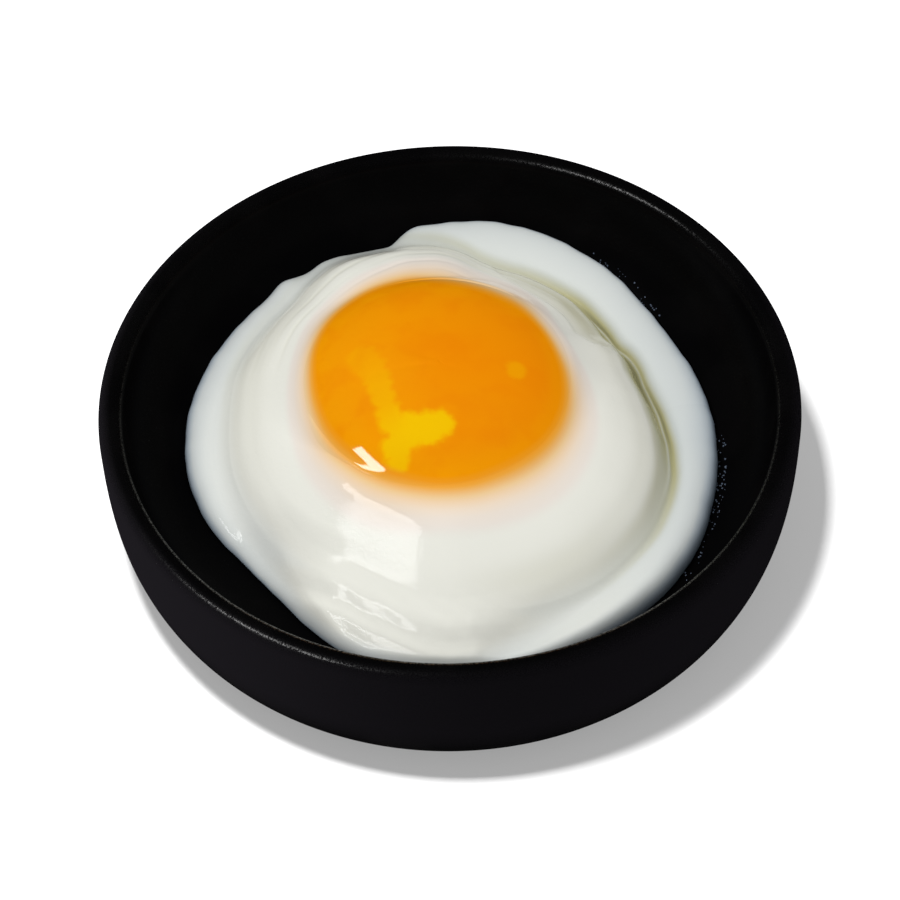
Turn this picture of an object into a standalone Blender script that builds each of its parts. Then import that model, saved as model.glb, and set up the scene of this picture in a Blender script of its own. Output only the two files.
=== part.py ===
"""A soft onsen egg in the small black bowl that it is served in.

Metres, +Z up. The origin is the middle of the bowl's foot, on the ground, and the side that a diner
sees first faces -Y. The white lies in the bowl as a low mound with a skirt round it, and the
yolk sits in a pocket in the top of the mound, off the bowl's middle towards the back.
"""

import math

import bmesh
import bpy
import numpy as np
from mathutils import Matrix

# The bowl: a turned stoneware dish with a rounded lip, a deep curved corner and a flat foot ring.
RIM_RADIUS = 0.0525
BOWL_HEIGHT = 0.0275
LIP_ROUNDING = 0.00185
LIP_EDGE_RADIUS = 0.0488
INSIDE_FLOOR_HEIGHT = 0.009
INSIDE_FLOOR_RADIUS = 0.026
INSIDE_CORNER = 2.2
FOOT_RADIUS = 0.0380
FOOT_RING_WIDTH = 0.0045
FOOT_RECESS = 0.0030
OUTSIDE_CORNER = 3.0
BOWL_SIDES = 64

# The egg: heights are above the ground, and directions are degrees from +X as seen from the dome's middle.
CONTACT_GAP = 0.0004
DOME_CENTRE = (-0.001, 0.004)
DOME_TOP = 0.0267
DOME_FOOT = 0.0145
DOME_SHOULDER = 2.3
DOME_BLUNTNESS = 0.70
DOME_RADIUS = ((-172, 0.0325), (-146, 0.0335), (-120, 0.0350), (-92, 0.0375), (-61, 0.0385), (-42, 0.0405),
               (-22, 0.0366), (0, 0.0318), (25, 0.0308), (60, 0.0322), (92, 0.0365), (118, 0.0360), (150, 0.0325))
SKIRT_RADIUS = ((-160, 0.0391), (-142, 0.0381), (-128, 0.0391), (-112, 0.0424), (-92, 0.0445), (-65, 0.0441),
                (-35, 0.0431), (-5, 0.0414), (25, 0.0400), (55, 0.0410), (75, 0.0413), (95, 0.0402),
                (112, 0.0389), (130, 0.0394), (150, 0.0390), (175, 0.0397))
SKIRT_THICKNESS = 0.0045
SKIRT_ROUNDING = 0.0050
JOIN_WIDTH = ((-150, 0.0030), (-90, 0.0020), (-20, 0.0012), (45, 0.0008), (92, 0.0012), (150, 0.0025))
CREASE_DEPTH = ((-120, 0.0), (-50, 0.0002), (0, 0.0012), (45, 0.0016), (92, 0.0006), (125, 0.0), (160, 0.0003))
CREASE_WIDTH = 0.0016
EGG_SIDES = 64
EGG_RINGS = 40

# The yolk: a flattened ball, whose pocket in the white keeps a narrow gap round it.
YOLK_CENTRE = (-0.0014, 0.0045, 0.0205)
YOLK_HALF_SIZE = (0.0215, 0.0223, 0.0090)
YOLK_SIDES = 48
YOLK_RINGS = 20
POCKET_GAP = 0.0003


def new_material(name, color, roughness):
    """A plain finish in the part's own colour."""
    material = bpy.data.materials.new(name)
    material.use_nodes = True
    shader = material.node_tree.nodes["Principled BSDF"]
    shader.inputs["Base Color"].default_value = (*color, 1.0)
    shader.inputs["Roughness"].default_value = roughness
    shader.inputs["Metallic"].default_value = 0.0
    return material


def add_object(name, mesh, collection, material):
    piece = bpy.data.objects.new(name, mesh)
    collection.objects.link(piece)
    mesh.materials.append(material)
    return piece


def apply_modifiers(piece):
    """Replaces the piece's mesh by the mesh that its modifiers give, and removes them."""
    graph = bpy.context.evaluated_depsgraph_get()
    finished = bpy.data.meshes.new_from_object(piece.evaluated_get(graph))
    piece.modifiers.clear()
    piece.data = finished


def quarter_oval(reach, power):
    """How far a corner has fallen, from 1 at reach 0 to 0 at reach 1, along a superellipse."""
    return (1 - np.clip(reach, 0, 1) ** power) ** (1 / power)


def around(stations, degrees):
    """A value that eases between stations (direction, value), all the way round."""
    directions = np.array([station[0] for station in stations], float)
    values = np.array([station[1] for station in stations], float)
    turned = (np.asarray(degrees, float) - directions[0]) % 360 + directions[0]
    after = np.searchsorted(directions, turned, side="right")
    before = after - 1
    after = after % len(directions)
    span = (directions[after] - directions[before]) % 360
    part = (turned - directions[before]) / span
    # Each station's slope is that of the line through its two neighbours, as in a Catmull-Rom curve.
    gaps = (np.roll(directions, -1) - np.roll(directions, 1)) % 360
    slopes = (np.roll(values, -1) - np.roll(values, 1)) / gaps
    part2, part3 = part**2, part**3
    return (
        (2 * part3 - 3 * part2 + 1) * values[before]
        + (part3 - 2 * part2 + part) * span * slopes[before]
        + (3 * part2 - 2 * part3) * values[after]
        + (part3 - part2) * span * slopes[after]
    )


def bowl_inside_height(radius):
    """Height of the bowl's inner surface at a distance from the axis."""
    edge_height = BOWL_HEIGHT - LIP_ROUNDING + math.sqrt(
        LIP_ROUNDING**2 - (RIM_RADIUS - LIP_ROUNDING - LIP_EDGE_RADIUS) ** 2
    )
    reach = (radius - INSIDE_FLOOR_RADIUS) / (LIP_EDGE_RADIUS - INSIDE_FLOOR_RADIUS)
    return edge_height - (edge_height - INSIDE_FLOOR_HEIGHT) * quarter_oval(reach, INSIDE_CORNER)


def smooth_greater(first, second, width):
    """The greater of two heights, with the corner between them rounded over this difference."""
    overlap = np.maximum(width - np.abs(first - second), 0) / width
    return np.maximum(first, second) + overlap**2 * width / 4


def white_top_height(x, y):
    """Height of the white's upper surface: the dome, the skirt that rests on the bowl, and the crease between."""
    away_x, away_y = x - DOME_CENTRE[0], y - DOME_CENTRE[1]
    distance = np.hypot(away_x, away_y)
    direction = np.degrees(np.arctan2(away_y, away_x))
    dome_radius = around(DOME_RADIUS, direction)
    reach = np.clip(distance / dome_radius, 0, 1)
    dome = DOME_FOOT + (DOME_TOP - DOME_FOOT) * (1 - reach**DOME_SHOULDER) ** DOME_BLUNTNESS
    dome = dome - 2 * np.maximum(distance - dome_radius, 0)
    inward = np.clip((around(SKIRT_RADIUS, direction) - distance) / SKIRT_ROUNDING, 0, 1)
    rounded = np.sqrt(1 - (1 - inward) ** 2)
    skirt = bowl_inside_height(np.hypot(x, y)) + CONTACT_GAP + SKIRT_THICKNESS * rounded
    height = smooth_greater(dome, skirt, around(JOIN_WIDTH, direction))
    crease = np.exp(-(((distance - dome_radius) / CREASE_WIDTH) ** 2))
    return height - np.maximum(around(CREASE_DEPTH, direction), 0) * crease * rounded


def ball(sides, rings):
    """A unit ball of quads, open to be pulled into a soft shape."""
    mesh = bmesh.new()
    bmesh.ops.create_uvsphere(mesh, u_segments=sides, v_segments=rings, radius=1.0)
    return mesh


def finish_mesh(source, name):
    mesh = bpy.data.meshes.new(name)
    source.to_mesh(mesh)
    source.free()
    mesh.shade_smooth()
    mesh.set_sharp_from_angle(angle=math.radians(50))
    return mesh


def bowl_profile():
    """The bowl's section at +X: inner floor, inner wall, lip, outer wall, foot ring and recess."""
    points = [(0.0, INSIDE_FLOOR_HEIGHT)]
    wall_points = 11
    for step in range(wall_points):
        # Equal steps of this angle put more points where the corner turns fastest.
        reach = math.sin(step / wall_points * math.pi / 2) ** (2 / INSIDE_CORNER)
        radius = INSIDE_FLOOR_RADIUS + (LIP_EDGE_RADIUS - INSIDE_FLOOR_RADIUS) * reach
        points.append((radius, float(bowl_inside_height(radius))))
    lip_middle = RIM_RADIUS - LIP_ROUNDING
    lip_start = math.acos((LIP_EDGE_RADIUS - lip_middle) / LIP_ROUNDING)
    lip_points = 7
    for step in range(lip_points + 1):
        angle = lip_start * (1 - step / lip_points)
        points.append((lip_middle + LIP_ROUNDING * math.cos(angle),
                       BOWL_HEIGHT - LIP_ROUNDING + LIP_ROUNDING * math.sin(angle)))
    for step in range(1, wall_points + 1):
        fall = math.sin(step / wall_points * math.pi / 2) ** (2 / OUTSIDE_CORNER)
        radius = FOOT_RADIUS + (RIM_RADIUS - FOOT_RADIUS) * float(quarter_oval(fall, OUTSIDE_CORNER))
        points.append((radius, (BOWL_HEIGHT - LIP_ROUNDING) * (1 - fall)))
    ring_inside = FOOT_RADIUS - FOOT_RING_WIDTH
    points += [(ring_inside, 0.0), (ring_inside - FOOT_RECESS, FOOT_RECESS), (0.0, FOOT_RECESS)]
    return points


def make_bowl(collection):
    """The bowl's section, turned about Z by a Screw."""
    section = bmesh.new()
    corners = [section.verts.new((radius, 0.0, height)) for radius, height in bowl_profile()]
    for first, second in zip(corners, corners[1:]):
        section.edges.new((first, second))
    mesh = bpy.data.meshes.new("bowl")
    section.to_mesh(mesh)
    section.free()
    bowl = add_object("bowl", mesh, collection, new_material("black_stoneware", (0.012, 0.012, 0.013), 0.45))
    screw = bowl.modifiers.new("turn", "SCREW")
    screw.steps = BOWL_SIDES
    screw.render_steps = BOWL_SIDES
    screw.use_merge_vertices = True
    screw.merge_threshold = 0.00001
    screw.use_smooth_shade = True
    return bowl


def make_white(collection):
    """A ball whose upper half becomes the mound and whose lower half follows the bowl."""
    mesh = ball(EGG_SIDES, EGG_RINGS)
    for vert in mesh.verts:
        direction = math.degrees(math.atan2(vert.co.y, vert.co.x))
        outline = float(around(SKIRT_RADIUS, direction))
        x = DOME_CENTRE[0] + vert.co.x * outline
        y = DOME_CENTRE[1] + vert.co.y * outline
        is_top = vert.co.z > 0.001
        resting_height = bowl_inside_height(math.hypot(x, y)) + CONTACT_GAP
        vert.co = (x, y, float(white_top_height(x, y) if is_top else resting_height))
    return add_object("egg_white", finish_mesh(mesh, "egg_white"), collection,
                      new_material("set_white", (0.83, 0.84, 0.80), 0.25))


def flattened_ball(name, growth):
    """The yolk's own shape, grown all round by this much, in its place."""
    mesh = ball(YOLK_SIDES, YOLK_RINGS)
    half_size = [side + growth for side in YOLK_HALF_SIZE]
    place = Matrix.Translation(YOLK_CENTRE) @ Matrix.Diagonal((*half_size, 1.0))
    bmesh.ops.transform(mesh, matrix=place, verts=mesh.verts)
    return finish_mesh(mesh, name)


def cut_pocket(white, cutters):
    """Takes the yolk's place, and a little more, out of the white."""
    cutter = bpy.data.objects.new("yolk_pocket", flattened_ball("yolk_pocket", POCKET_GAP))
    cutters.objects.link(cutter)
    cutter.hide_render = True
    cutter.display_type = "WIRE"
    cut = white.modifiers.new("pocket", "BOOLEAN")
    cut.operation = "DIFFERENCE"
    cut.solver = "EXACT"
    cut.object = cutter
    apply_modifiers(white)
    bpy.data.objects.remove(cutter)


def main():
    for old in list(bpy.data.objects):
        bpy.data.objects.remove(old)
    parts = bpy.data.collections.new("onsen_egg")
    cutters = bpy.data.collections.new("cutters")
    for collection in (parts, cutters):
        bpy.context.scene.collection.children.link(collection)
    make_bowl(parts)
    white = make_white(parts)
    add_object("yolk", flattened_ball("yolk", 0.0), parts, new_material("soft_yolk", (0.85, 0.27, 0.005), 0.2))
    cut_pocket(white, cutters)


main()
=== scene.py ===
"""A soft onsen egg in its small black bowl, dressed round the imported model.

Metres, +Z up, in the model's own frame: the bowl stands on z = 0 and its front faces -Y. The bowl,
the white and the yolk stand for the plain solids of the same names and keep their form.
"""

import math

import bmesh
import bpy
import numpy as np
from mathutils import Matrix, Vector


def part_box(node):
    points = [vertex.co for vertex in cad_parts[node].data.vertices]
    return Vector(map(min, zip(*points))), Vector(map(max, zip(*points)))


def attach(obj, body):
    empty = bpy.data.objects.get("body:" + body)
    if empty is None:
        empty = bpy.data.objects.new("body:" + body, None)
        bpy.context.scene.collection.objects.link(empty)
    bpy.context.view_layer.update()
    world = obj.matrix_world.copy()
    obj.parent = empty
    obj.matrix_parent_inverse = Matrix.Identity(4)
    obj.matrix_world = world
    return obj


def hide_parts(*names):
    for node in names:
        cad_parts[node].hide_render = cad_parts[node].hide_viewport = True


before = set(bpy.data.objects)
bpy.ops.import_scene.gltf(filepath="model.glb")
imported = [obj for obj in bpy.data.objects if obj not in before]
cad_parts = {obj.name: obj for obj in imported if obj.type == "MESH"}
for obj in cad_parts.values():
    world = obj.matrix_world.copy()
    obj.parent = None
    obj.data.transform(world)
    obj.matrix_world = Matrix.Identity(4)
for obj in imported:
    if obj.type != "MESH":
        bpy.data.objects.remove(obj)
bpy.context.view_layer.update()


# ------------------------------------------------------------------------------------------------
# The bowl: a small wheel-turned stoneware dish under a black satin glaze, with a rounded lip, a
# deep curved corner and a flat foot ring. It is its section, turned once round the axis.

RIM_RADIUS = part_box("bowl")[1].x
BOWL_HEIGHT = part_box("bowl")[1].z
LIP_ROUNDING = 0.00185
LIP_EDGE_RADIUS = 0.0488
INSIDE_FLOOR_HEIGHT = 0.009
INSIDE_FLOOR_RADIUS = 0.026
INSIDE_CORNER = 2.2
FOOT_RADIUS = 0.0380
FOOT_RING_WIDTH = 0.0045
FOOT_EDGE_ROUNDING = 0.0005
FOOT_RECESS = 0.0030
OUTSIDE_CORNER = 3.0
BOWL_SIDES = 256
WALL_POINTS = 34
LIP_POINTS = 18
MERGE_DISTANCE = 0.000001

BLACK_GLAZE = (0.0021, 0.0020, 0.0022, 1.0)
THIN_GLAZE = (0.0031, 0.0029, 0.0031, 1.0)
# The outside's lighter black is a painted reflection of the white table in the wall.
OUTSIDE_PAINTED_SHEEN = (0.0038, 0.0034, 0.0042, 1.0)
# The glaze is thin in clouds, and its fine grain breaks up the gloss.
GLAZE_CLOUD = 0.012
GLAZE_CLOUD_RANGE = (0.45, 0.65)
GLAZE_GRAIN = 0.00026
GLAZE_GRAIN_RANGE = (0.40, 0.62)
GLAZE_GRAIN_DEPTH = 0.00005
# Only the top of the lip is glossy: the gloss starts at one height and is full at the other.
BODY_GLOSS = 0.03
LIP_GLOSS = 0.85
LIP_GLOSS_START = BOWL_HEIGHT - 0.6 * LIP_ROUNDING
LIP_GLOSS_FULL = BOWL_HEIGHT - 0.2 * LIP_ROUNDING
# The outside is painted a lighter black, a painted reflection of the white table in its wall, coming in
# across the lip from this radius on. It also covers the points under the bowl, which lie at least this
# deep below its inside.
OUTSIDE_START = 0.0505
OUTSIDE_FADE = 0.0015
UNDER_INSIDE = 0.0010


class Value:
    """A number that varies over a surface. A sum on it adds the Math node that works it out."""

    def __init__(self, finish, socket):
        self.finish = finish
        self.socket = socket

    def math(self, operation, first, second):
        return self.finish.node("ShaderNodeMath", {"operation": operation}, {0: first, 1: second})

    def __add__(self, other):
        return self.math("ADD", self, other)

    def __sub__(self, other):
        return self.math("SUBTRACT", self, other)

    def __rsub__(self, other):
        return self.math("SUBTRACT", other, self)

    def __mul__(self, other):
        return self.math("MULTIPLY", self, other)

    def __truediv__(self, other):
        return self.math("DIVIDE", self, other)

    def __rtruediv__(self, other):
        return self.math("DIVIDE", other, self)

    __radd__ = __add__
    __rmul__ = __mul__

    def ease(self, start, end):
        """0 up to start, 1 from end on, and a smooth rise between them."""
        settings = {"interpolation_type": "SMOOTHSTEP"}
        return self.finish.node("ShaderNodeMapRange", settings, {0: self, 1: start, 2: end})


class Finish:
    """A material in the making: a Principled shader, whose constants are set on its own sockets."""

    def __init__(self, name, **constants):
        self.material = bpy.data.materials.new(name)
        self.material.use_nodes = True
        self.nodes = self.material.node_tree.nodes
        self.links = self.material.node_tree.links
        self.shader = self.nodes["Principled BSDF"]
        for socket, value in constants.items():
            self.shader.inputs[socket.replace("_", " ")].default_value = value

    def node(self, kind, settings, values, output=0):
        """Adds a node, sets it up, fills its sockets, by name or number, and gives one output."""
        node = self.nodes.new(kind)
        for setting, value in settings.items():
            if setting == "stops":
                self.set_stops(node.color_ramp, value)
            else:
                setattr(node, setting, value)
        for socket, value in values.items():
            if isinstance(value, Value):
                self.links.new(value.socket, node.inputs[socket])
            else:
                node.inputs[socket].default_value = value
        return Value(self, node.outputs[output])

    def set_stops(self, ramp, stops):
        """Gives a new ramp its stops (place, colour), of which the first is at 0 and the last at 1."""
        ramp.elements[0].color = stops[0][1]
        ramp.elements[1].color = stops[-1][1]
        for place, color in stops[1:-1]:
            ramp.elements.new(place).color = color

    def place(self):
        """Where the surface is, in metres."""
        return self.node("ShaderNodeTexCoord", {}, {}, output="Object")

    def painted(self, name):
        """A number painted on the piece's points."""
        return self.node("ShaderNodeAttribute", {"attribute_name": name}, {}, output="Fac")

    def noise(self, grain, detail=2.0, roughness=0.5, distortion=0.0):
        """Cloudy noise from about 0.3 to 0.7, whose lumps are about this size in metres."""
        values = {"Vector": self.place(), "Scale": 1 / grain, "Detail": detail, "Roughness": roughness,
                  "Distortion": distortion}
        return self.node("ShaderNodeTexNoise", {}, values)

    def blend(self, amount, first, second):
        """The first colour where the amount is 0, and the second where it is 1."""
        # A Mix node takes its colours at sockets 6 and 7 and gives the mixed colour at output 2.
        values = {0: amount, 6: first, 7: second}
        return self.node("ShaderNodeMix", {"data_type": "RGBA"}, values, output=2)

    def feed(self, socket, value):
        self.links.new(value.socket, self.shader.inputs[socket])

    def relief(self, height, depth):
        """Small relief: the height, times this depth in metres, tilts the surface."""
        values = {"Strength": 1.0, "Distance": depth, "Height": height}
        self.feed("Normal", self.node("ShaderNodeBump", {}, values))


def quarter_oval(reach, power):
    """How far a corner has fallen, from 1 at reach 0 to 0 at reach 1, along a superellipse."""
    return (1 - np.clip(reach, 0, 1) ** power) ** (1 / power)


def bowl_inside_height(radius):
    """Height of the bowl's inner surface at a distance from the axis."""
    lip_middle = RIM_RADIUS - LIP_ROUNDING
    lip_drop = math.sqrt(LIP_ROUNDING**2 - (lip_middle - LIP_EDGE_RADIUS) ** 2)
    edge_height = BOWL_HEIGHT - LIP_ROUNDING + lip_drop
    reach = (radius - INSIDE_FLOOR_RADIUS) / (LIP_EDGE_RADIUS - INSIDE_FLOOR_RADIUS)
    return edge_height - (edge_height - INSIDE_FLOOR_HEIGHT) * quarter_oval(reach, INSIDE_CORNER)


def bowl_section():
    """The section at +X: inner floor, inner wall, lip, outer wall, foot ring and recess."""
    points = [(0.0, INSIDE_FLOOR_HEIGHT)]
    for step in range(WALL_POINTS):
        reach = math.sin(step / WALL_POINTS * math.pi / 2) ** (2 / INSIDE_CORNER)
        radius = INSIDE_FLOOR_RADIUS + (LIP_EDGE_RADIUS - INSIDE_FLOOR_RADIUS) * reach
        points.append((radius, float(bowl_inside_height(radius))))
    lip_middle = RIM_RADIUS - LIP_ROUNDING
    lip_start = math.acos((LIP_EDGE_RADIUS - lip_middle) / LIP_ROUNDING)
    for step in range(LIP_POINTS + 1):
        angle = lip_start * (1 - step / LIP_POINTS)
        points.append((lip_middle + LIP_ROUNDING * math.cos(angle),
                       BOWL_HEIGHT - LIP_ROUNDING + LIP_ROUNDING * math.sin(angle)))
    for step in range(1, WALL_POINTS):
        fall = math.sin(step / WALL_POINTS * math.pi / 2) ** (2 / OUTSIDE_CORNER)
        radius = FOOT_RADIUS + (RIM_RADIUS - FOOT_RADIUS) * float(quarter_oval(fall, OUTSIDE_CORNER))
        points.append((radius, (BOWL_HEIGHT - LIP_ROUNDING) * (1 - fall)))
    ring_inside = FOOT_RADIUS - FOOT_RING_WIDTH
    points += [(FOOT_RADIUS - FOOT_EDGE_ROUNDING, 0.0), (ring_inside + FOOT_EDGE_ROUNDING, 0.0),
               (ring_inside - FOOT_RECESS, FOOT_RECESS), (0.0, FOOT_RECESS)]
    return points


def add_piece(name, shape, finish, stands_for=None):
    """Makes the shape a smooth piece with this finish, which rides on the part's one body."""
    mesh = bpy.data.meshes.new(name)
    shape.to_mesh(mesh)
    shape.free()
    mesh.shade_smooth()
    mesh.materials.append(finish.material)
    piece = bpy.data.objects.new(name, mesh)
    bpy.context.scene.collection.objects.link(piece)
    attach(piece, "root")
    if stands_for:
        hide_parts(stands_for)
    return piece


def paint(piece, name, values):
    """Keeps one number for each point of the piece, for its finish to read."""
    layer = piece.data.attributes.new(name, "FLOAT", "POINT")
    layer.data.foreach_set("value", np.asarray(values, np.float32))


def points_of(piece):
    points = np.empty(len(piece.data.vertices) * 3)
    piece.data.vertices.foreach_get("co", points)
    return points.reshape(-1, 3)


bowl_shape = bmesh.new()
section = [bowl_shape.verts.new((radius, 0.0, height)) for radius, height in bowl_section()]
section_edges = [bowl_shape.edges.new(pair) for pair in zip(section, section[1:])]
bmesh.ops.spin(bowl_shape, geom=section + section_edges, cent=(0, 0, 0), axis=(0, 0, 1),
               angle=2 * math.pi, steps=BOWL_SIDES, use_merge=True)
bmesh.ops.remove_doubles(bowl_shape, verts=bowl_shape.verts, dist=MERGE_DISTANCE)
bmesh.ops.recalc_face_normals(bowl_shape, faces=bowl_shape.faces)

glaze = Finish("black_satin_glaze", Specular_IOR_Level=0.0, Coat_Roughness=0.24)
grain = glaze.noise(GLAZE_GRAIN, detail=3.0, roughness=0.6)
cloud = glaze.noise(GLAZE_CLOUD)
height = glaze.node("ShaderNodeSeparateXYZ", {}, {0: glaze.place()}, output="Z")
on_lip = height.ease(LIP_GLOSS_START, LIP_GLOSS_FULL)
inside_glaze = glaze.blend(cloud.ease(*GLAZE_CLOUD_RANGE), BLACK_GLAZE, THIN_GLAZE)
# Painted reflection of the table on the outside, clouded black glaze inside.
glaze.feed("Base Color", glaze.blend(glaze.painted("outside"), inside_glaze, OUTSIDE_PAINTED_SHEEN))
glaze.feed("Coat Weight", BODY_GLOSS + LIP_GLOSS * on_lip * grain.ease(*GLAZE_GRAIN_RANGE))
glaze.relief(grain, GLAZE_GRAIN_DEPTH)
bowl = add_piece("bowl_glazed", bowl_shape, glaze, "bowl")
bowl_x, bowl_y, bowl_z = points_of(bowl).T
bowl_radius = np.hypot(bowl_x, bowl_y)
below_inside = bowl_z < bowl_inside_height(np.minimum(bowl_radius, LIP_EDGE_RADIUS)) - UNDER_INSIDE
across_lip = np.clip((bowl_radius - OUTSIDE_START) / OUTSIDE_FADE, 0, 1)
paint(bowl, "outside", np.where(bowl_radius < LIP_EDGE_RADIUS, below_inside, across_lip))


# ------------------------------------------------------------------------------------------------
# The white: egg white set soft and slippery, a low mound with a skirt that spread over the bowl
# before it set. It is a ball of rings: pocket under the yolk, upper surface, and underside.

DOME_CENTRE = (-0.001, 0.004)
# The mound's height from its middle, at 0, to its foot, at 1. At the sides it then falls on at the
# side slope. The front goes down in low terraces that catch the light, and runs out thin.
SIDE_PROFILE = ((0, 0.0267), (0.15, 0.0266), (0.30, 0.0262), (0.45, 0.0253), (0.54, 0.0245),
                (0.66, 0.0232), (0.78, 0.0213), (0.88, 0.0192), (0.95, 0.0172), (1.0, 0.0148))
SIDE_SLOPE = 2.0
FRONT_PROFILE = ((0, 0.0267), (0.135, 0.0266), (0.27, 0.0262), (0.405, 0.0254), (0.487, 0.0247),
                 (0.55, 0.0241), (0.575, 0.02362), (0.618, 0.02256), (0.66, 0.02152), (0.71, 0.02029),
                 (0.76, 0.01906), (0.775, 0.01872), (0.79, 0.01845), (0.82, 0.01798), (0.848, 0.01759),
                 (0.862, 0.01734), (0.8835, 0.01682), (0.905, 0.01630), (0.918, 0.01610),
                 (0.955, 0.01568), (0.975, 0.01520), (0.995, 0.01472), (1.01, 0.01450), (1.04, 0.01415),
                 (1.10, 0.01350), (1.15, 0.01300))
# The tables that start here go round the mound's middle, by direction in degrees from +X. The first
# says where the mound has the front's profile.
FRONT = ((-165, 0.0), (-132, 1.0), (-85, 1.0), (-50, 0.0), (0, 0.0), (60, 0.0), (120, 0.0), (170, 0.0))
FRONT_RADIUS = ((-170, 0.0374), (-150, 0.0388), (-140, 0.0400), (-131, 0.0408), (-123, 0.0411),
                (-115, 0.0414), (-106, 0.0428), (-97, 0.0451), (-91, 0.0464), (-82, 0.0462),
                (-70, 0.0455), (-50, 0.0450), (0, 0.0450))
# The front's left part falls off sooner, from this distance on and by this much at its edge.
FRONT_FALL_START = 0.029
FRONT_FALL = ((-170, 0.0), (-152, 0.0016), (-138, 0.0033), (-129, 0.0026), (-118, 0.0003), (-60, 0.0),
              (60, 0.0), (150, 0.0))
# How far out the mound's foot and the skirt's edge lie.
DOME_RADIUS = ((-160, 0.0334), (-146, 0.0338), (-135, 0.0343), (-122, 0.0346), (-111, 0.0349),
               (-103, 0.0355), (-91, 0.0370), (-77, 0.0380), (-62, 0.0383), (-53, 0.0382), (-47, 0.0378),
               (-41, 0.0375), (-35, 0.0372), (-29, 0.0366), (-23, 0.0360), (-17, 0.0353), (-12, 0.0345),
               (-7, 0.0338), (-2, 0.0330), (4, 0.0323), (9, 0.0317), (15, 0.0313), (21, 0.0315),
               (26, 0.0314), (31, 0.0309), (36, 0.0313), (42, 0.0318), (48, 0.0324), (54, 0.0326),
               (60, 0.0328), (66, 0.0330), (72, 0.0331), (78, 0.0339), (84, 0.0357), (90, 0.0371),
               (96, 0.0377), (102, 0.0386), (108, 0.0387), (114, 0.0388), (121, 0.0380), (127, 0.0364),
               (133, 0.0350), (142, 0.0343), (151, 0.0339), (163, 0.0334), (175, 0.0328))
SKIRT_RADIUS = ((-172, 0.0398), (-164, 0.0396), (-157, 0.0392), (-150, 0.0386), (-142, 0.0379),
                (-136, 0.0381), (-128, 0.0390), (-118, 0.0414), (-112, 0.0430), (-92, 0.0452),
                (-65, 0.0461), (-50, 0.0457), (-35, 0.0446), (-20, 0.0430), (-5, 0.0419), (10, 0.0410),
                (25, 0.0402), (36, 0.0403), (45, 0.0409), (60, 0.0415), (75, 0.0417), (85, 0.0413),
                (92, 0.0409), (96, 0.0406), (99, 0.0398), (102, 0.0388), (106, 0.0387), (112, 0.0389),
                (118, 0.0393), (124, 0.0388), (130, 0.0394), (136, 0.0389), (150, 0.0390), (175, 0.0397))
# How thick the skirt is over the bowl, and how far in from its edge it starts to round over.
SKIRT_THICKNESS = ((-150, 0.0035), (-135, 0.0022), (-115, 0.0014), (-92, 0.0015), (-75, 0.0030),
                   (-60, 0.0045), (-30, 0.0050), (0, 0.0045), (60, 0.0045), (95, 0.0042), (130, 0.0045))
SKIRT_ROUNDING = ((-160, 0.0050), (-135, 0.0040), (-110, 0.0014), (-85, 0.0014), (-60, 0.0024),
                  (-30, 0.0048), (20, 0.0070), (60, 0.0088), (95, 0.0080), (130, 0.0060), (165, 0.0060))
# Small waves along the skirt's edge: how many go round, the angle they start at, and their shares.
EDGE_WAVE = 0.000035
EDGE_WAVES = ((23, 1, 1.0), (41, 2, 0.7), (67, 0, 0.5))
CONTACT_GAP = 0.0002
# How softly the mound and its skirt run together.
JOIN_WIDTH = ((-150, 0.0045), (-135, 0.0030), (-118, 0.0015), (-90, 0.0015), (-60, 0.0035), (-30, 0.0025),
              (0, 0.0010), (45, 0.0006), (92, 0.0012), (110, 0.0030), (128, 0.0020), (145, 0.0025),
              (165, 0.0050))
# The crease between them, and the small ridge in it, with their places out from the mound's foot.
CREASE_DEPTH = ((-120, 0.0), (-50, 0.0003), (-20, 0.0010), (0, 0.0015), (30, 0.0018), (50, 0.0014),
                (75, 0.0008), (95, 0.0005), (104, 0.0), (126, 0.0), (135, 0.0001), (150, 0.0001),
                (165, 0.0))
CREASE_PLACE = 0.0008
CREASE_WIDTH = 0.0013
RIDGE_HEIGHT = ((-30, 0.0), (-8, 0.00025), (30, 0.00030), (70, 0.00020), (90, 0.0), (150, 0.0))
RIDGE_PLACE = ((-30, 0.0), (46, 0.0), (54, -0.0008), (60, -0.0011), (72, -0.0014), (90, -0.0016),
               (150, -0.0016))
RIDGE_WIDTH = 0.00026

# Ripples in the front's skin: sets of waves, by how many go round and their radians to a metre.
RIPPLES = ((-155, 0.0), (-135, 0.6), (-115, 1.0), (-88, 1.0), (-70, 0.3), (-50, 0.0), (150, 0.0))
RIPPLE_DEPTH = 0.00003
RIPPLE_WAVES = ((97, 1300), (57, -2100))
RIPPLE_START = 0.0335
RIPPLE_FULL = 0.0360

# Where the yolk's orange starts to fade under the film of white, out from the mound's middle.
ORANGE_RADIUS = ((-164, 0.0194), (-145, 0.0197), (-128, 0.0198), (-104, 0.0199), (-92, 0.0202),
                 (-80, 0.0202), (-68, 0.0199), (-55, 0.0198), (-39, 0.0197), (-21, 0.0192), (-1, 0.0184),
                 (17, 0.0178), (35, 0.0179), (51, 0.0184), (65, 0.0186), (78, 0.0192), (90, 0.0203),
                 (101, 0.0216), (113, 0.0220), (125, 0.0220), (139, 0.0216), (157, 0.0206), (177, 0.0196))

# Fine folds behind the yolk. On the way from the yolk, at 0, to the mound's foot, at 1, they rise
# between the first two values of their span and fade between the last two.
FOLD_COUNT = 6
FOLD_DEPTH = 0.00009
FOLD_SHARPNESS = 3
FOLD_SPAN = (0.10, 0.30, 0.85, 1.0)
FOLDS = ((-60, 0.0), (30, 0.0), (58, 0.7), (85, 1.0), (120, 1.0), (150, 0.7), (172, 0.0))
# A fold wanders in bends: how many go round, where they start in degrees, and by how many folds.
FOLD_BENDS = ((3, 40, 0.5), (7, 0, 0.3))
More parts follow.
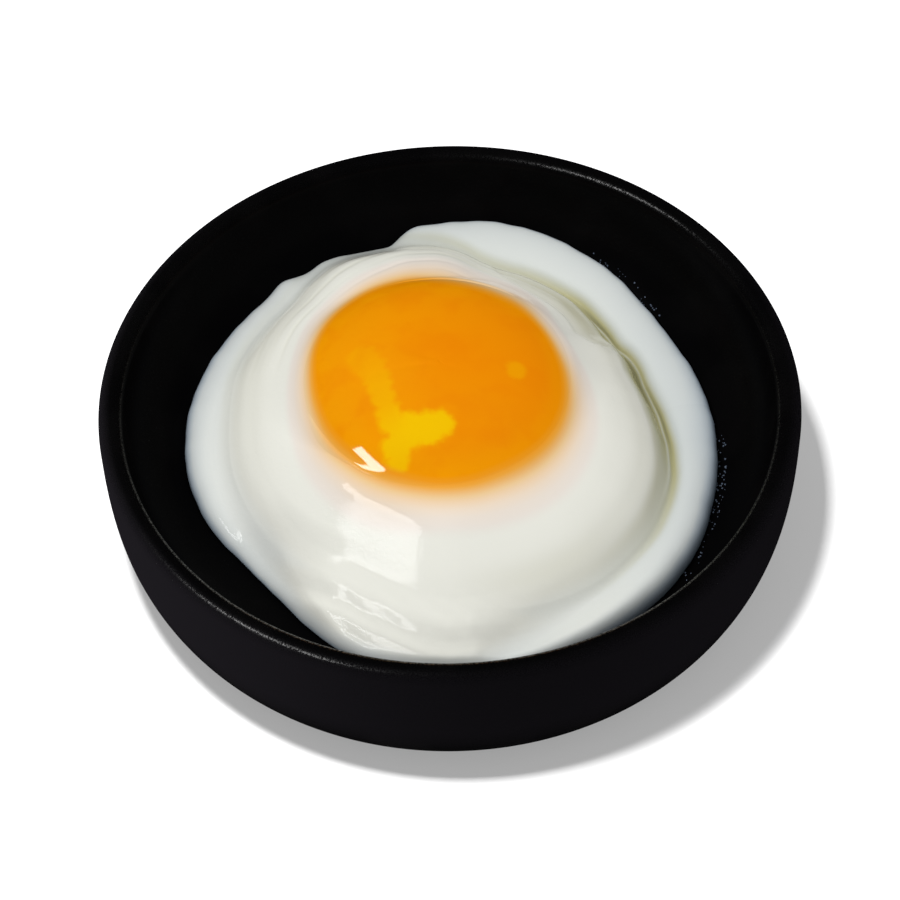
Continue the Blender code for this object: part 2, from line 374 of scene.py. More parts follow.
# A fold's depth varies by this share, so many times round, and differently from fold to fold.
FOLD_UNEVENNESS = 0.4
FOLD_UNEVEN_COUNT = 5
FOLD_UNEVEN_SHIFT = 2.4

# The sunken lens of clearer white beside the crease, and how far it reaches in from there.
LENS_REACH = ((-60, -0.0004), (19, -0.0004), (23, 0.0030), (25, 0.0057), (28, 0.0068), (35, 0.0069),
              (42, 0.0070), (47, 0.0076), (52, 0.0080), (58, 0.0077), (63, 0.0069), (69, 0.0058),
              (74, 0.0030), (79, -0.0004), (180, -0.0004))
LENS_DEPTH = 0.00020
LENS_START = 0.0001
LENS_RIM = 0.0004

# The yolk's own size is needed here too, for the pocket and for the film that laps over it.
YOLK_CENTRE = (-0.0018, 0.0047, 0.0205)
YOLK_HALF_SIZE = (0.0225, 0.0232, 0.0090)
# The egg's surface follows the round of the yolk up to this reach, and then runs straight on down.
YOLK_ROUND_REACH = 0.95
FILM_WIDTH = ((-165, 0.0022), (-150, 0.0007), (-120, 0.0004), (-100, 0.0008), (-85, 0.0014),
              (-60, 0.0024), (-30, 0.0030), (0, 0.0034), (40, 0.0030), (65, 0.0018), (90, 0.0006),
              (120, 0.0014), (150, 0.0030), (180, 0.0034))
# The pocket is a little wider than the yolk. Up its wall, from 0 to 1, the gap closes from the
# first of these places on, and the wall turns to the seam from the second.
POCKET_GAP = 0.00015
POCKET_GAP_CLOSES = 0.75
POCKET_TURNS_IN = 0.9
# White and yolk meet flush at the seam, at this part of the yolk's half width. Past it each
# runs on a little under the other, first almost level and then down.
SEAM_REACH = 0.90
SEAM_OVERLAP = 0.03
SEAM_LEAN = 0.00001
SEAM_DIP = 0.00025

WHITE_SIDES = 440
POCKET_RINGS = 16
TOP_RINGS = 148
EDGE_RINGS = 26
UNDER_RINGS = 14
# The outermost part of the upper surface that has the closer rings.
EDGE_REACH = 0.0045


def curve(stations, value):
    """A value that eases between stations (place, value), as in a Catmull-Rom curve."""
    places = np.array([station[0] for station in stations], float)
    values = np.array([station[1] for station in stations], float)
    value = np.clip(value, places[0], places[-1])
    before = np.clip(np.searchsorted(places, value, side="right") - 1, 0, len(places) - 2)
    slopes = np.gradient(values, places)
    span = places[before + 1] - places[before]
    part = (value - places[before]) / span
    part2, part3 = part**2, part**3
    return (
        (2 * part3 - 3 * part2 + 1) * values[before]
        + (part3 - 2 * part2 + part) * span * slopes[before]
        + (3 * part2 - 2 * part3) * values[before + 1]
        + (part3 - part2) * span * slopes[before + 1]
    )


def around(stations, degrees):
    """A value that eases between stations (direction, value), all the way round."""
    degrees = (np.asarray(degrees, float) - stations[0][0]) % 360 + stations[0][0]
    lead = [(place - 360, value) for place, value in stations[-2:]]
    trail = [(place + 360, value) for place, value in stations[:2]]
    return curve(lead + list(stations) + trail, degrees)


def smooth_greater(first, second, width):
    """The greater of two heights, with the corner between them rounded over this difference."""
    overlap = np.maximum(width - np.abs(first - second), 0) / width
    return np.maximum(first, second) + overlap**2 * width / 4


def rise(value, start, end):
    """0 up to start, 1 from end on, and a smooth rise between them."""
    part = np.clip((value - start) / (end - start), 0, 1)
    return part * part * (3 - 2 * part)


def within(value, span):
    """Rises from 0 to 1 between the span's first two values and falls between its last two."""
    return rise(value, span[0], span[1]) * (1 - rise(value, span[2], span[3]))


def line_at(value, place, width):
    """1 on a soft line at this place, and 0 a few widths from it."""
    return np.exp(-(((value - place) / width) ** 2))


def skirt_radius(direction):
    """How far the skirt reaches, with the small waves of its edge."""
    turn = np.radians(direction)
    waves = sum(share * np.sin(count * turn + start) for count, start, share in EDGE_WAVES)
    return around(SKIRT_RADIUS, direction) + EDGE_WAVE * waves


def from_middle(x, y):
    """Distance and direction, in degrees from +X, from the mound's middle."""
    away_x, away_y = x - DOME_CENTRE[0], y - DOME_CENTRE[1]
    return np.hypot(away_x, away_y), np.degrees(np.arctan2(away_y, away_x))


def yolk_reach(x, y):
    """Distance from the yolk's middle, where 1 is its widest line."""
    return np.hypot((x - YOLK_CENTRE[0]) / YOLK_HALF_SIZE[0], (y - YOLK_CENTRE[1]) / YOLK_HALF_SIZE[1])


def fold_valleys(distance, direction):
    """The fine folds behind the yolk: 1 down in a fold and 0 between the folds."""
    start = around(ORANGE_RADIUS, direction)
    part = (distance - start) / (around(DOME_RADIUS, direction) - start)
    bend = sum(share * np.sin(np.radians(count * direction + turn)) for count, turn, share in FOLD_BENDS)
    turns = FOLD_COUNT * part + bend
    valley = (0.5 + 0.5 * np.cos(2 * math.pi * turns)) ** FOLD_SHARPNESS
    shift = FOLD_UNEVEN_SHIFT * np.floor(turns + 0.5)
    swell = np.sin(np.radians(FOLD_UNEVEN_COUNT * direction) + shift)
    uneven = 1 - FOLD_UNEVENNESS + FOLD_UNEVENNESS * swell
    return valley * uneven * around(FOLDS, direction).clip(0, 1) * within(part, FOLD_SPAN)


def ripples(distance, direction):
    """Small ripples in the skin of the skirt's front."""
    waves = [np.sin(np.radians(count * direction) + outward * distance) for count, outward in RIPPLE_WAVES]
    strength = rise(distance, RIPPLE_START, RIPPLE_FULL) * around(RIPPLES, direction).clip(0, 1)
    return sum(waves) / len(waves) * strength


def lens(distance, direction):
    """The sunken lens beside the crease: 1 on it and 0 off it."""
    inward = around(DOME_RADIUS, direction) - distance
    to_edge = around(LENS_REACH, direction) - inward
    return rise(inward, LENS_START, LENS_RIM) * rise(to_edge, 0, LENS_RIM)


def egg_height(x, y):
    """Height of the egg's outer surface: the mound, its skirt, the crease between, and the yolk's dome."""
    distance, direction = from_middle(x, y)
    edge = skirt_radius(direction)
    dome_radius = around(DOME_RADIUS, direction)
    outward = distance - dome_radius
    front = around(FRONT, direction).clip(0, 1)
    side_dome = curve(SIDE_PROFILE, distance / dome_radius) - SIDE_SLOPE * np.maximum(outward, 0)
    front_dome = curve(FRONT_PROFILE, distance / around(FRONT_RADIUS, direction))
    dome = side_dome * (1 - front) + front_dome * front
    dome = dome - around(FRONT_FALL, direction).clip(0, 1) * rise(distance, FRONT_FALL_START, edge)
    inward = np.clip((edge - distance) / around(SKIRT_ROUNDING, direction), 0, 1)
    rounded = np.sqrt(1 - (1 - inward) ** 2)
    base = bowl_inside_height(np.hypot(x, y)) + CONTACT_GAP
    skirt = base + around(SKIRT_THICKNESS, direction)
    height = smooth_greater(dome, skirt, around(JOIN_WIDTH, direction))
    height = base + (height - base) * rounded
    crease = line_at(outward, CREASE_PLACE, CREASE_WIDTH)
    height = height - np.maximum(around(CREASE_DEPTH, direction), 0) * crease * rounded
    ridge = line_at(outward, around(RIDGE_PLACE, direction), RIDGE_WIDTH)
    height = height + np.maximum(around(RIDGE_HEIGHT, direction), 0) * ridge
    height = height - FOLD_DEPTH * fold_valleys(distance, direction)
    height = height - LENS_DEPTH * lens(distance, direction)
    height = height + RIPPLE_DEPTH * ripples(distance, direction) * rounded
    from_yolk = yolk_reach(x, y)
    on_yolk = np.minimum(from_yolk, YOLK_ROUND_REACH)
    yolk_dome = YOLK_CENTRE[2] + YOLK_HALF_SIZE[2] * np.sqrt(1 - on_yolk**2)
    steepness = YOLK_ROUND_REACH / math.sqrt(1 - YOLK_ROUND_REACH**2)
    yolk_dome = yolk_dome - YOLK_HALF_SIZE[2] * steepness * (from_yolk - on_yolk)
    return smooth_greater(height, yolk_dome, around(FILM_WIDTH, direction))


def tucked(past_seam):
    """How far a piece lies under the other, this far past the seam."""
    return (SEAM_LEAN * np.clip(past_seam / SEAM_OVERLAP, 0, 1)
            + SEAM_DIP * rise(past_seam, SEAM_OVERLAP, 2 * SEAM_OVERLAP))


def wrapped_ball(sides, rings):
    """A unit ball, wrapped from a flat grid and closed. Its rings go down from the top in even steps."""
    shape = bmesh.new()
    bmesh.ops.create_grid(shape, x_segments=sides, y_segments=rings, size=1.0)
    for point in shape.verts:
        turn = point.co.x * math.pi
        down = (1 - point.co.y) / 2 * math.pi
        point.co = (math.sin(down) * math.cos(turn), math.sin(down) * math.sin(turn), math.cos(down))
    bmesh.ops.remove_doubles(shape, verts=shape.verts, dist=MERGE_DISTANCE)
    bmesh.ops.recalc_face_normals(shape, faces=shape.faces)
    return shape


def move_points(piece, points):
    piece.data.vertices.foreach_set("co", np.asarray(points, np.float32).ravel())
    piece.data.update()


def white_points(ball):
    """The places of the white's points, from those of a ball: pocket, upper surface and underside."""
    rings = POCKET_RINGS + TOP_RINGS + EDGE_RINGS + UNDER_RINGS
    ring = np.round(np.arccos(np.clip(ball[:, 2], -1, 1)) / math.pi * rings)
    turn = np.arctan2(ball[:, 1], ball[:, 0])
    way_x, way_y = np.cos(turn), np.sin(turn)
    # The pocket, from its lowest point up to the lip.
    lip_reach = SEAM_REACH - 2 * SEAM_OVERLAP
    lip_x = YOLK_CENTRE[0] + YOLK_HALF_SIZE[0] * lip_reach * way_x
    lip_y = YOLK_CENTRE[1] + YOLK_HALF_SIZE[1] * lip_reach * way_y
    lip_z = egg_height(lip_x, lip_y) - tucked(2 * SEAM_OVERLAP)
    climb = np.clip(ring / POCKET_RINGS, 0, 1)
    angle = climb * (math.pi - math.asin(lip_reach))
    gap = POCKET_GAP * (1 - rise(climb, POCKET_GAP_CLOSES, 1.0))
    x = YOLK_CENTRE[0] + (YOLK_HALF_SIZE[0] + gap) * np.sin(angle) * way_x
    y = YOLK_CENTRE[1] + (YOLK_HALF_SIZE[1] + gap) * np.sin(angle) * way_y
    z = YOLK_CENTRE[2] - (YOLK_HALF_SIZE[2] + gap) * np.cos(angle)
    z = z + (lip_z - z) * rise(climb, POCKET_TURNS_IN, 1.0)
    # The upper surface, with its last rings closer together where the skirt rounds over.
    out = np.clip((ring - POCKET_RINGS) / TOP_RINGS, 0, 1)
    round_edge = np.sin(np.clip((ring - POCKET_RINGS - TOP_RINGS) / EDGE_RINGS, 0, 1) * math.pi / 2)
    edge = skirt_radius(np.degrees(turn))
    inner_edge = edge - EDGE_REACH
    top_x = lip_x + (DOME_CENTRE[0] + inner_edge * way_x - lip_x) * out + EDGE_REACH * way_x * round_edge
    top_y = lip_y + (DOME_CENTRE[1] + inner_edge * way_y - lip_y) * out + EDGE_REACH * way_y * round_edge
    top_z = egg_height(top_x, top_y) - tucked(SEAM_REACH - yolk_reach(top_x, top_y))
    # The underside, which lies on the bowl.
    under = 1 - np.clip((ring - POCKET_RINGS - TOP_RINGS - EDGE_RINGS) / UNDER_RINGS, 0, 1)
    under_x = DOME_CENTRE[0] + edge * way_x * under
    under_y = DOME_CENTRE[1] + edge * way_y * under
    under_z = bowl_inside_height(np.hypot(under_x, under_y)) + CONTACT_GAP
    is_top = ring >= POCKET_RINGS
    is_under = ring >= POCKET_RINGS + TOP_RINGS + EDGE_RINGS
    x = np.where(is_under, under_x, np.where(is_top, top_x, x))
    y = np.where(is_under, under_y, np.where(is_top, top_y, y))
    z = np.where(is_under, under_z, np.where(is_top, top_z, z))
    return np.stack([x, y, z], axis=1)


WHITE_TINT = (0.79, 0.79, 0.72, 1)
# Tints of the painted shade in the crease, on the flank and in the folds.
OLIVE_SHADE_TINT = (0.46, 0.44, 0.245, 1)
DEEP_OLIVE_SHADE_TINT = (0.22, 0.21, 0.11, 1)
FULL_OLIVE = 0.6
MILLIMETRES_IN_METRE = 1000
# The white lets the black bowl show through where it is thin: tints by its thickness in millimetres.
THIN_TINTS = ((0.0, (0.18, 0.25, 0.34, 1)), (0.9, (0.42, 0.49, 0.55, 1)), (2.0, (0.60, 0.635, 0.63, 1)),
              (4.5, (0.70, 0.725, 0.70, 1)), (7.5, WHITE_TINT))
# How fast that thickness grows from the edge, by direction, and what it is at the edge.
EDGE_SHARPNESS = ((-150, 1.8), (-130, 2.5), (-100, 4.0), (-70, 3.0), (-30, 1.8), (20, 2.2), (90, 3.0),
                  (130, 2.0), (155, 1.0), (180, 1.1))
EDGE_THICKNESS = 0.5
# How sheer the skirt is, or below 0 how milky, and how far out from the mound it is fully so. Besides the
# real sheerness over the black bowl, this paints shade on the skirt's right, away from the light, and
# paints light on its front.
SKIRT_SHEERNESS_AND_SHADE = ((-160, -0.2), (-135, -0.7), (-100, -0.9), (-75, -0.5), (-50, 0.1), (-30, 0.45),
                   (-10, 0.58), (15, 0.48), (45, 0.22), (90, 0.0))
SHEER_WIDTH = 0.0025
# The yolk is yellower to the left and near its edge, and redder in its middle and in soft clouds.
YOLK_TINT = (0.80, 0.232, 0.001, 1)
YELLOW_YOLK_TINT = (0.83, 0.300, 0.001, 1)
RED_YOLK_TINT = (0.775, 0.192, 0.001, 1)
YELLOW_LEVEL = 0.45
YELLOW_SPREAD = 0.036
YELLOW_EDGE = 0.5
YELLOW_EDGE_RANGE = (-4.5, -1)
RED_MIDDLE = (0.0, 0.005)
RED_MIDDLE_SIZE = 0.0055
RED_MIDDLE_STRENGTH = 0.35
RED_CLOUD = 0.0055
RED_CLOUD_RANGE = (0.42, 0.68)
RED_CLOUD_STRENGTH = 0.30
# Paler spots in the yolk, with ragged edges: their places, sizes and strengths.
PALE_YOLK_TINT = (0.84, 0.49, 0.001, 1)
PALE_SPOTS = ((-0.0063, -0.0078, 0.0040, 1.0), (-0.0032, -0.0076, 0.0036, 1.0),
              (-0.0014, -0.0070, 0.0028, 1.0), (-0.0080, -0.0102, 0.0029, 0.9),
              (-0.0078, -0.0124, 0.0022, 0.8), (-0.0086, -0.0062, 0.0026, 0.75),
              (-0.0092, -0.0042, 0.0024, 0.6), (-0.0098, -0.0020, 0.0024, 0.5),
              (-0.0103, 0.0002, 0.0024, 0.45), (-0.0109, 0.0022, 0.0026, 0.34),
              (-0.0117, 0.0042, 0.0028, 0.26), (-0.0128, 0.0060, 0.0032, 0.20),
              (0.0101, 0.0031, 0.0020, 0.30))
PALE_OVERLAP = 0.3
PALE_LEAST_WEIGHT = 0.001
PALE_GRAIN = 0.0014
PALE_RAGGEDNESS = 0.6
PALE_RANGE = (-0.04, 0.50)
# The yolk's colour as the film of white over it thickens: tints by the millimetres past the orange,
# and how gently the film thickens in each direction.
FILM_TINTS = ((-1.2, (0.81, 0.30, 0.011, 1)), (-0.4, (0.81, 0.30, 0.011, 1)), (0.3, (0.79, 0.36, 0.05, 1)),
              (0.9, (0.78, 0.44, 0.15, 1)), (1.6, (0.78, 0.545, 0.29, 1)), (2.3, (0.79, 0.60, 0.41, 1)),
              (3.1, (0.785, 0.655, 0.52, 1)), (4.2, (0.78, 0.70, 0.615, 1)),
              (5.4, (0.785, 0.73, 0.665, 1)), (7.0, WHITE_TINT))
FILM_SPREAD = ((-164, 0.8), (-145, 1.0), (-116, 1.3), (-92, 1.25), (-55, 1.3), (-21, 0.95), (0, 0.75),
               (17, 0.62), (35, 0.66), (51, 1.0), (78, 1.3), (90, 1.5), (101, 1.25), (125, 0.9),
               (145, 0.75), (160, 0.65), (178, 0.70))
FILM_START = FILM_TINTS[0][0]
FILM_END = FILM_TINTS[-1][0]
# Along the film, from 0 to 1, the bare yolk gives way to these tints, and these to the white.
FILM_IN = (0.0, 0.1)
FILM_OUT = (0.75, 1.0)
# Painted olive shade in the crease's valley outside the ridge, with a deeper line in it, and on the
# mound's flank where it turns from the light.
VALLEY_PAINTED_SHADE = ((-90, 0.0), (-55, 0.08), (-35, 0.3), (-15, 0.6), (5, 0.95), (20, 1.0), (40, 0.85),
                (60, 0.45), (75, 0.3), (92, 0.2), (104, 0.08), (125, 0.06), (140, 0.06), (155, 0.08),
                (172, 0.05))
VALLEY_SPAN = (-0.0028, -0.0012, 0.0010, 0.0024)
VALLEY_LINE_PLACE = 0.0009
VALLEY_LINE_WIDTH = 0.0007
VALLEY_LINE_SHARE = 0.4
FLANK_PAINTED_SHADE = ((-90, 0.0), (-60, 0.09), (-40, 0.036), (-20, 0.054), (0, 0.042), (15, 0.048), (40, 0.27),
               (60, 0.21), (90, 0.12), (120, 0.048), (145, 0.048), (165, 0.048))
FLANK_PLACE = -0.0035
FLANK_WIDTH = 0.0021
# The folds and the lens's edge get faint painted shade too, and the lens itself the same faint olive; the
# ridge is kept pale, out of the painted shade.
RELIEF_OLIVE = 0.08
LENS_EDGE_WIDTH = 0.00025
LENS_EDGE_LEAST_REACH = 0.0003
RIDGE_PALENESS = 0.7
RIDGE_PALE_WIDTH = 0.00022
RIDGE_PALE_HEIGHT = 0.0002
# How dull the skirt is, by direction: behind and to the right its skin has dried a little.
DULL_SKIRT = ((-60, 0.0), (-10, 0.3), (20, 1.0), (105, 1.0), (125, 0.3), (150, 0.0))
DULL_START = 0.0005
DULL_FULL = 0.0020
WET_ROUGHNESS = 0.05
FILM_ROUGHNESS = 0.01
DULL_ROUGHNESS = 0.34
WRINKLE_SIZE = 0.0011
WRINKLE_DEPTH = 0.000025
WRINKLE_RANGE = (0.4, 0.9)


def graded(finish, amount, tints):
    """A colour that runs through the tints, from the first at 0 to the last at 1."""
    first, last = tints[0][0], tints[-1][0]
    stops = [((place - first) / (last - first), color) for place, color in tints]
    return finish.node("ShaderNodeValToRGB", {"stops": stops}, {0: amount})


def egg_color(finish):
    """Orange yolk that fades through cream to white where the film of white thickens over it."""
    white = graded(finish, finish.painted("thickness") / THIN_TINTS[-1][0], THIN_TINTS)
    # Painted olive shade in the crease, on the flank and in the folds.
    white = finish.blend(finish.painted("olive") / FULL_OLIVE, white, OLIVE_SHADE_TINT)
    white = finish.blend(finish.painted("olive").ease(FULL_OLIVE, 1.0), white, DEEP_OLIVE_SHADE_TINT)
    yolk = finish.blend(finish.painted("yellow"), YOLK_TINT, YELLOW_YOLK_TINT)
    cloudy = finish.noise(RED_CLOUD, detail=2.5, distortion=0.3).ease(*RED_CLOUD_RANGE)
    yolk = finish.blend(RED_CLOUD_STRENGTH * cloudy, yolk, RED_YOLK_TINT)
    patchy = finish.painted("pale") + PALE_RAGGEDNESS * (finish.noise(PALE_GRAIN, detail=3.0) - 0.5)
    pale = patchy.ease(*PALE_RANGE) * finish.painted("pale_strength")
    yolk = finish.blend(pale, yolk, PALE_YOLK_TINT)
    film = graded(finish, finish.painted("film_cover"), FILM_TINTS)
    lapped = finish.blend(finish.painted("film_cover").ease(*FILM_IN), yolk, film)
    return finish.blend(finish.painted("film_cover").ease(*FILM_OUT), lapped, white)


def thickness_and_skirt_shade(x, y, z):
    """How thick the white looks, in millimetres: less at its edge, and by how sheer the skirt is, with
    painted shade on the skirt's right and painted light at its front.
    """
    distance, direction = from_middle(x, y)
    thickness = (z - bowl_inside_height(np.hypot(x, y))) * MILLIMETRES_IN_METRE
    to_edge = np.maximum(skirt_radius(direction) - distance, 0) * MILLIMETRES_IN_METRE
    thickness = np.minimum(thickness, to_edge * around(EDGE_SHARPNESS, direction) + EDGE_THICKNESS)
    outward = distance - around(DOME_RADIUS, direction)
    return thickness * (1 - around(SKIRT_SHEERNESS_AND_SHADE, direction) * rise(outward, 0, SHEER_WIDTH))


def painted_olive_shade(distance, direction):
    """How much painted olive shade the white gets, in its valley, on its flank and in its low relief."""
    outward = distance - around(DOME_RADIUS, direction)
    line = line_at(outward, VALLEY_LINE_PLACE, VALLEY_LINE_WIDTH)
    in_valley = (1 - VALLEY_LINE_SHARE) * within(outward, VALLEY_SPAN) + VALLEY_LINE_SHARE * line
    valley = np.maximum(around(VALLEY_PAINTED_SHADE, direction), 0) * in_valley
    flank = np.maximum(around(FLANK_PAINTED_SHADE, direction), 0) * line_at(outward, FLANK_PLACE, FLANK_WIDTH)
    lens_reach = around(LENS_REACH, direction)
    lens_edge = line_at(-outward, lens_reach, LENS_EDGE_WIDTH) * (lens_reach > LENS_EDGE_LEAST_REACH)
    low_relief = lens(distance, direction) + lens_edge + fold_valleys(distance, direction)
    ridge = line_at(outward, around(RIDGE_PLACE, direction), RIDGE_PALE_WIDTH)
    ridge = ridge * rise(around(RIDGE_HEIGHT, direction), 0, RIDGE_PALE_HEIGHT)
    olive = (valley + flank + RELIEF_OLIVE * low_relief) * (1 - RIDGE_PALENESS * ridge)
    return np.clip(olive, 0, 1)


def yellowness(x, y, past_orange):
    """How yellow the yolk's orange is."""
    near_edge = rise(past_orange, *YELLOW_EDGE_RANGE)
    redder = line_at(np.hypot(x - RED_MIDDLE[0], y - RED_MIDDLE[1]), 0, RED_MIDDLE_SIZE)
    yellow = YELLOW_LEVEL - x / YELLOW_SPREAD + YELLOW_EDGE * near_edge - RED_MIDDLE_STRENGTH * redder
    return np.clip(yellow, 0, 1)


def paleness(x, y):
    """How far a point lies inside the yolk's pale spots, and how strong the spots round it are."""
    near = 1 - np.array([np.hypot(x - spot[0], y - spot[1]) / spot[2] for spot in PALE_SPOTS])
    weight = np.maximum(near + PALE_OVERLAP, PALE_LEAST_WEIGHT) ** 2
    strength = np.array([[spot[3]] for spot in PALE_SPOTS])
    return near.max(axis=0), (weight * strength).sum(axis=0) / weight.sum(axis=0)


def paint_egg(piece):
    """Paints on the white or the yolk all that their colour and gloss read."""
    x, y, z = points_of(piece).T
    distance, direction = from_middle(x, y)
    past_orange = (distance - around(ORANGE_RADIUS, direction)) * MILLIMETRES_IN_METRE
    past_orange = past_orange / around(FILM_SPREAD, direction)
    paint(piece, "film_cover", np.clip((past_orange - FILM_START) / (FILM_END - FILM_START), 0, 1))
    # The thickness also carries the skirt's painted shade and painted light.
    paint(piece, "thickness", thickness_and_skirt_shade(x, y, z))
    # The painted shade in the crease, on the flank and in the folds.
    paint(piece, "olive", painted_olive_shade(distance, direction))
    paint(piece, "yellow", yellowness(x, y, past_orange))
    pale, pale_strength = paleness(x, y)
    paint(piece, "pale", pale)
    paint(piece, "pale_strength", pale_strength)
    outward = distance - around(DOME_RADIUS, direction)
    dull = around(DULL_SKIRT, direction) * rise(outward, DULL_START, DULL_FULL)
    paint(piece, "dull", np.clip(dull, 0, 1))


set_white = Finish("soft_set_white", Specular_IOR_Level=0.12)
set_white.feed("Base Color", egg_color(set_white))
film_roughness = FILM_ROUGHNESS * set_white.painted("film_cover")
set_white.feed("Roughness", WET_ROUGHNESS + film_roughness + DULL_ROUGHNESS * set_white.painted("dull"))
wrinkles = set_white.noise(WRINKLE_SIZE, detail=4.0, roughness=0.6, distortion=0.6)
set_white.relief(wrinkles * set_white.painted("film_cover").ease(*WRINKLE_RANGE), WRINKLE_DEPTH)
white_shape = wrapped_ball(WHITE_SIDES, POCKET_RINGS + TOP_RINGS + EDGE_RINGS + UNDER_RINGS)
white = add_piece("egg_white_soft", white_shape, set_white, "egg_white")
move_points(white, white_points(points_of(white)))
paint_egg(white)


# ------------------------------------------------------------------------------------------------
# The yolk: still liquid inside its skin, a flattened ball that settled into the white. Its upper
# side keeps flush with the white, and its edge runs on under the white's film.

YOLK_SIDES = 256
YOLK_RINGS = 128


def yolk_points(ball):
    """A flattened ball, whose upper side is flush with the egg's surface up to the seam."""
    points = ball * YOLK_HALF_SIZE + YOLK_CENTRE
    x, y, z = points.T
    reach = yolk_reach(x, y)
    flush = (ball[:, 2] > 0) * (1 - rise(reach, SEAM_REACH + SEAM_OVERLAP, SEAM_REACH + 2 * SEAM_OVERLAP))
    surface = egg_height(x, y) - tucked(reach - SEAM_REACH)
    return np.stack([x, y, z + (surface - z) * flush], axis=1)


soft_yolk = Finish("soft_yolk", Specular_IOR_Level=0.5)
soft_yolk.feed("Base Color", egg_color(soft_yolk))
soft_yolk.feed("Roughness", WET_ROUGHNESS + FILM_ROUGHNESS * soft_yolk.painted("film_cover"))
yolk = add_piece("yolk_soft", wrapped_ball(YOLK_SIDES, YOLK_RINGS), soft_yolk, "yolk")
move_points(yolk, yolk_points(points_of(yolk)))
paint_egg(yolk)


# ------------------------------------------------------------------------------------------------
# The foam: tiny beads of thin white that dried on the bowl just past the skirt's edge, on the right
# and behind. They are small balls, half sunk in the bowl's wall.

BEAD_COUNT = 110
BEAD_SIZES = (0.00006, 0.00020)
BEAD_DIRECTIONS = (-36, -22, -15, -11, -5, 38, 50)
BEAD_SCATTER = 3.0
BEAD_REACH = 0.0014
BEAD_SEED = 7
DRIED_TINT = (0.09, 0.115, 0.16, 1)

foam_shape = bmesh.new()
draw = np.random.default_rng(BEAD_SEED)
for bead in range(BEAD_COUNT):
    direction = draw.choice(BEAD_DIRECTIONS) + draw.normal(0, BEAD_SCATTER)
    size = draw.uniform(*BEAD_SIZES)
    distance = float(skirt_radius(direction)) + BEAD_REACH * draw.random()
    bead_x = DOME_CENTRE[0] + distance * math.cos(math.radians(direction))
    bead_y = DOME_CENTRE[1] + distance * math.sin(math.radians(direction))
    bead_z = float(bowl_inside_height(math.hypot(bead_x, bead_y)))
    bmesh.ops.create_icosphere(foam_shape, subdivisions=1, radius=size,
                               matrix=Matrix.Translation((bead_x, bead_y, bead_z)))
dried_white = Finish("dried_white", Base_Color=DRIED_TINT, Roughness=0.25)
foam = add_piece("egg_foam", foam_shape, dried_white)


# ------------------------------------------------------------------------------------------------
# The plain white table that the bowl stands on, the studio's lights, and the camera. None of it is
# part of the object.

TABLE_HALF_WIDTH = 3.0
PAPER_TINT = (0.45, 0.45, 0.45, 1)
PAPER_GLOW = 0.30
# The long key light makes the highlights. Fills lighten the egg, and low glows the bowl's wall.
KEY_DIRECTION = (-0.509, -0.230, 0.830)
KEY_DISTANCE = 0.70
KEY_SIZE = (0.36, 0.085)
OVERHEAD_PLACE = (0.05, 0.15, 1.2)
OVERHEAD_SIZE = (1.0, 1.0)
FRONT_FILL_PLACE = (0.50, -0.62, 0.6)
BACK_FILL_PLACE = (-0.5, 0.6, 0.65)
FILL_SIZE = (0.8, 0.8)
EGG_MIDDLE = (0.0, 0.0, 0.02)
LEFT_GLOW_PLACE = (-0.45, -0.06, 0.014)
RIGHT_GLOW_PLACE = (0.45, -0.12, 0.014)
GLOW_SIZE = (0.30, 0.02)
WALL_MIDDLE = (0.0, 0.0, 0.014)
TABLE_LIGHT_PLACE = (-0.066, -0.072, 0.442)
TABLE_LIGHT_TARGET = (-0.066, -0.072, 0.0)
TABLE_LIGHT_SIZE = (0.05, 0.05)
ROOM_LIGHT = 0.405
CAMERA_TARGET = (-0.00011, -0.0114, BOWL_HEIGHT)
CAMERA_ELEVATION = math.radians(50.67)
CAMERA_DISTANCE = 0.450
CAMERA_ROLL = math.radians(1.47)
CAMERA_LENS = 122.59
CAMERA_SENSOR = 36.0

table_shape = bmesh.new()
bmesh.ops.create_grid(table_shape, x_segments=1, y_segments=1, size=TABLE_HALF_WIDTH)
table_mesh = bpy.data.meshes.new("table")
table_shape.to_mesh(table_mesh)
table_shape.free()
table = bpy.data.objects.new("table", table_mesh)
bpy.context.scene.collection.objects.link(table)
paper = Finish("white_paper", Base_Color=PAPER_TINT, Roughness=0.9, Specular_IOR_Level=0.1,
               Emission_Color=(1, 1, 1, 1), Emission_Strength=PAPER_GLOW)
table_mesh.materials.append(paper.material)
table.visible_glossy = False


def add_light(name, place, target, size, power, glossy=False):
    """Adds a rectangular light that shines at a target. Surfaces mirror only a glossy one."""
    light = bpy.data.lights.new(name, "AREA")
    light.shape = "RECTANGLE"
    light.size, light.size_y = size
    light.energy = power
    lamp = bpy.data.objects.new(name, light)
    bpy.context.scene.collection.objects.link(lamp)
    lamp.location = place
    lamp.rotation_mode = "QUATERNION"
    lamp.rotation_quaternion = (Vector(target) - Vector(place)).to_track_quat("-Z", "Y")
    lamp.visible_glossy = glossy
    return lamp


def keep_light_to(name, pieces, lamps):
    """Makes these lights shine on nothing but these pieces."""
    lit = bpy.data.collections.new(name)
    for piece in pieces:
        lit.objects.link(piece)
    for lamp in lamps:
        lamp.light_linking.receiver_collection = lit
    return lit


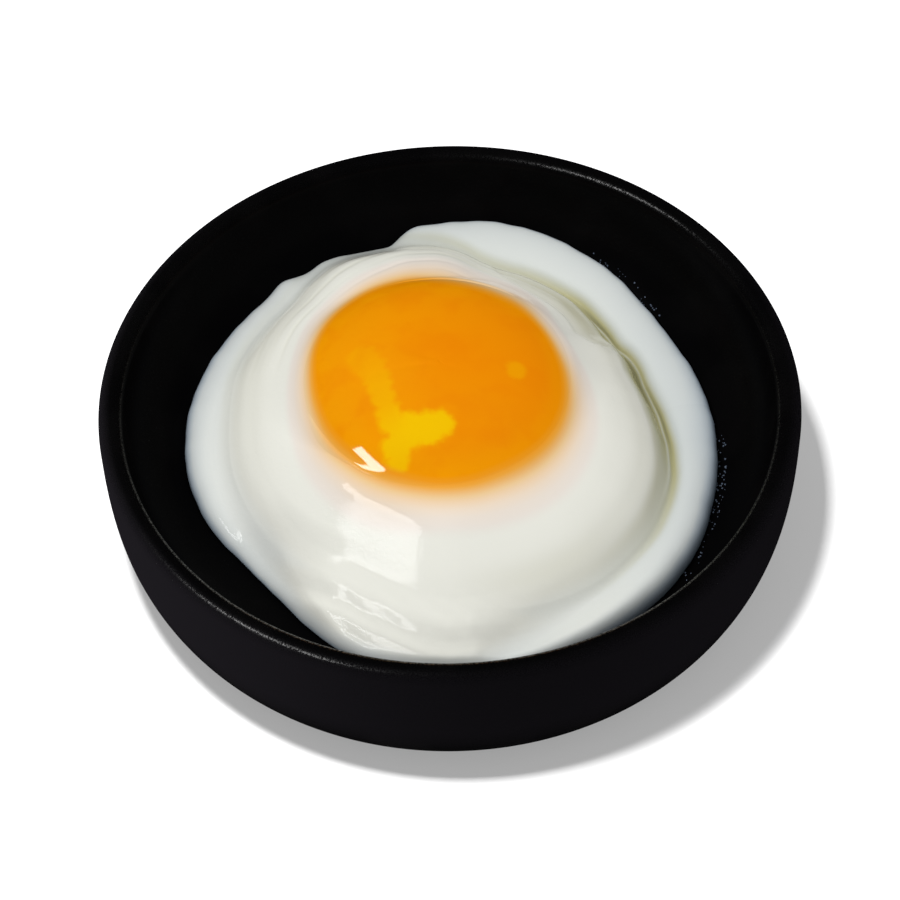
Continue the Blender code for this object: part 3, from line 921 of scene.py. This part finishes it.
key_place = tuple(KEY_DISTANCE * part for part in KEY_DIRECTION)
key = add_light("key", key_place, EGG_MIDDLE, KEY_SIZE, power=1.44, glossy=True)
overhead = add_light("overhead", OVERHEAD_PLACE, EGG_MIDDLE, OVERHEAD_SIZE, power=2.7)
front_fill = add_light("front_fill", FRONT_FILL_PLACE, EGG_MIDDLE, FILL_SIZE, power=3.3)
back_fill = add_light("back_fill", BACK_FILL_PLACE, EGG_MIDDLE, FILL_SIZE, power=3.0)
left_glow = add_light("left_glow", LEFT_GLOW_PLACE, WALL_MIDDLE, GLOW_SIZE, power=4.6)
right_glow = add_light("right_glow", RIGHT_GLOW_PLACE, WALL_MIDDLE, GLOW_SIZE, power=1.1)
table_light = add_light("table_light", TABLE_LIGHT_PLACE, TABLE_LIGHT_TARGET, TABLE_LIGHT_SIZE, power=4.9)

# The table has a light of its own, so that the bowl's shadow shows in front and on the right.
keep_light_to("table_only", [table], [table_light])
all_but_table = keep_light_to("all_but_table", [table], [key, overhead])
all_but_table.collection_objects[0].light_linking.link_state = "EXCLUDE"
keep_light_to("egg_only", [white, yolk, foam], [front_fill, back_fill])
keep_light_to("bowl_only", [bowl], [left_glow, right_glow])
for lamp in (left_glow, right_glow):
    lamp.visible_camera = False

world = bpy.data.worlds.new("room")
world.use_nodes = True
world.node_tree.nodes["Background"].inputs["Color"].default_value = (1, 1, 1, 1)
world.node_tree.nodes["Background"].inputs["Strength"].default_value = ROOM_LIGHT
world.cycles_visibility.glossy = False
bpy.context.scene.world = world

camera_data = bpy.data.cameras.new("camera")
camera_data.lens = CAMERA_LENS
camera_data.sensor_width = CAMERA_SENSOR
camera = bpy.data.objects.new("camera", camera_data)
bpy.context.scene.collection.objects.link(camera)
camera_place = (CAMERA_TARGET[0], CAMERA_TARGET[1] - CAMERA_DISTANCE * math.cos(CAMERA_ELEVATION),
                CAMERA_TARGET[2] + CAMERA_DISTANCE * math.sin(CAMERA_ELEVATION))
camera_tilt = Matrix.Rotation(math.pi / 2 - CAMERA_ELEVATION, 4, "X")
camera_turn = Matrix.Rotation(-CAMERA_ROLL, 4, "Z")
camera.matrix_world = Matrix.Translation(camera_place) @ camera_tilt @ camera_turn
bpy.context.scene.camera = camera
bpy.context.scene.view_settings.view_transform = "Standard"
